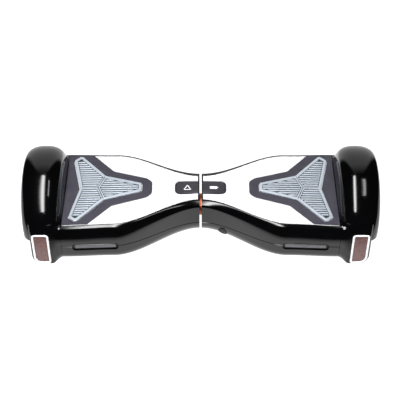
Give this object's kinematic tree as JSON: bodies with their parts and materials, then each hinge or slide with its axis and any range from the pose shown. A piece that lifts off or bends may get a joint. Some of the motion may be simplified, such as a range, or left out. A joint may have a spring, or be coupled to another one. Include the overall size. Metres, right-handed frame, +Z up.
{
  "type": "self balancing hoverboard",
  "caption": "Low two-wheel self-balancing board: two black half bodies on a centre pivot, silver waisted deck, three-lobed foot pads, arched fenders over hub-motor wheels.",
  "frame": {"origin": "on the floor under the middle of the centre pivot, which is the middle of the outline's base", "axes": "+X from the left wheel to the right wheel, -Y the headlight side, +Z up"},
  "size_m": [0.585, 0.1972, 0.1741],
  "materials": {
    "gloss_black_shell": "glossy injection-moulded shell",
    "silver_white_plate": "glossy pearl silver paint",
    "grey_rubber_mat": "matt charcoal rubber",
    "silver_pad": "satin blue-silver foot grip",
    "smoked_window": "smoked window over the indicator lights",
    "cast_aluminium": "die cast",
    "steel": "plain steel",
    "bronze": "oiled bearing bronze",
    "tyre_rubber": "solid rubber tyre",
    "hub_plastic": "satin black",
    "white_bezel": "white frame",
    "headlight_lens": "tinted lens, unlit",
    "red_lens": "red lens, unlit",
    "smoked_lamp": "smoked lens, unlit",
    "circuit_board": "printed circuit board",
    "battery_wrap": "shrink-wrapped steel cells",
    "copper_winding": "wound copper on laminations",
    "button_metal": "plain steel",
    "soft_black": "soft black rubber"
  },
  "bodies": {
    "left_half": {"left_upper_shell": "gloss_black_shell", "left_lower_shell": "gloss_black_shell", "left_deck_plate": "silver_white_plate", "left_foot_mat": "grey_rubber_mat", "left_indicator_panel": "smoked_window", "left_chassis": "cast_aluminium", "left_axle_clamp": "cast_aluminium", "left_axle": "steel", "left_stator": "copper_winding", "left_front_lamp_housing": "gloss_black_shell", "left_rear_lamp_housing": "gloss_black_shell", "left_headlight_bezel": "white_bezel", "left_headlight_lens": "headlight_lens", "left_tail_light_lens": "red_lens", "left_slot_lamp": "smoked_lamp", "left_sensor_board": "circuit_board", "left_shell_screw_1": "steel", "left_shell_screw_2": "steel", "left_shell_screw_3": "steel", "left_shell_screw_4": "steel", "pivot_shaft": "steel", "pivot_sleeve": "bronze", "main_board": "circuit_board"},
    "left_pad": {"left_foot_pad": "silver_pad"},
    "left_wheel": {"left_tyre": "tyre_rubber", "left_motor_housing": "cast_aluminium", "left_motor_cover": "cast_aluminium", "left_wheel_bearing": "steel", "left_hub_cap": "hub_plastic"},
    "right_half": {"right_upper_shell": "gloss_black_shell", "right_lower_shell": "gloss_black_shell", "right_deck_plate": "silver_white_plate", "right_foot_mat": "grey_rubber_mat", "right_indicator_panel": "smoked_window", "right_chassis": "cast_aluminium", "right_axle_clamp": "cast_aluminium", "right_axle": "steel", "right_stator": "copper_winding", "right_front_lamp_housing": "gloss_black_shell", "right_rear_lamp_housing": "gloss_black_shell", "right_headlight_bezel": "white_bezel", "right_headlight_lens": "headlight_lens", "right_tail_light_lens": "red_lens", "right_slot_lamp": "smoked_lamp", "right_sensor_board": "circuit_board", "right_shell_screw_1": "steel", "right_shell_screw_2": "steel", "right_shell_screw_3": "steel", "right_shell_screw_4": "steel", "pivot_bush": "bronze", "battery_pack": "battery_wrap", "charge_socket": "soft_black"},
    "right_pad": {"right_foot_pad": "silver_pad"},
    "right_wheel": {"right_tyre": "tyre_rubber", "right_motor_housing": "cast_aluminium", "right_motor_cover": "cast_aluminium", "right_wheel_bearing": "steel", "right_hub_cap": "hub_plastic"},
    "port_cap": {"charge_cap": "soft_black"},
    "button": {"power_button": "button_metal"}
  },
  "joints": [
    {"name": "board_twist", "type": "hinge", "parent": "left_half", "child": "right_half", "pos_m": [0, 0, 0.0705], "axis": [1, 0, 0], "range_deg": [-12, 12]},
    {"name": "left_wheel_spin", "type": "hinge", "parent": "left_half", "child": "left_wheel", "pos_m": [-0.263, 0, 0.0825], "axis": [1, 0, 0], "continuous": true},
    {"name": "right_wheel_spin", "type": "hinge", "parent": "right_half", "child": "right_wheel", "pos_m": [0.263, 0, 0.0825], "axis": [1, 0, 0], "continuous": true},
    {"name": "left_pad_press", "type": "slide", "parent": "left_half", "child": "left_pad", "axis": [0, 0, -1], "range_m": [0, 0.0014], "stiffness_N_per_m": 6000, "springref_m": -0.0001},
    {"name": "right_pad_press", "type": "slide", "parent": "right_half", "child": "right_pad", "axis": [0, 0, -1], "range_m": [0, 0.0014], "stiffness_N_per_m": 6000, "springref_m": -0.0001},
    {"name": "power_button_press", "type": "slide", "parent": "right_half", "child": "button", "axis": [0.384, -0.8571, 0.3435], "range_m": [0, 0.001], "stiffness_N_per_m": 1500, "springref_m": -0.0002},
    {"name": "charge_cap_flap", "type": "hinge", "parent": "right_half", "child": "port_cap", "pos_m": [0.03622, -0.04688, 0.05855], "axis": [-0.9126, 0.4089, 0], "range_deg": [0, 110], "stiffness_Nm_per_rad": 0.002}
  ]
}
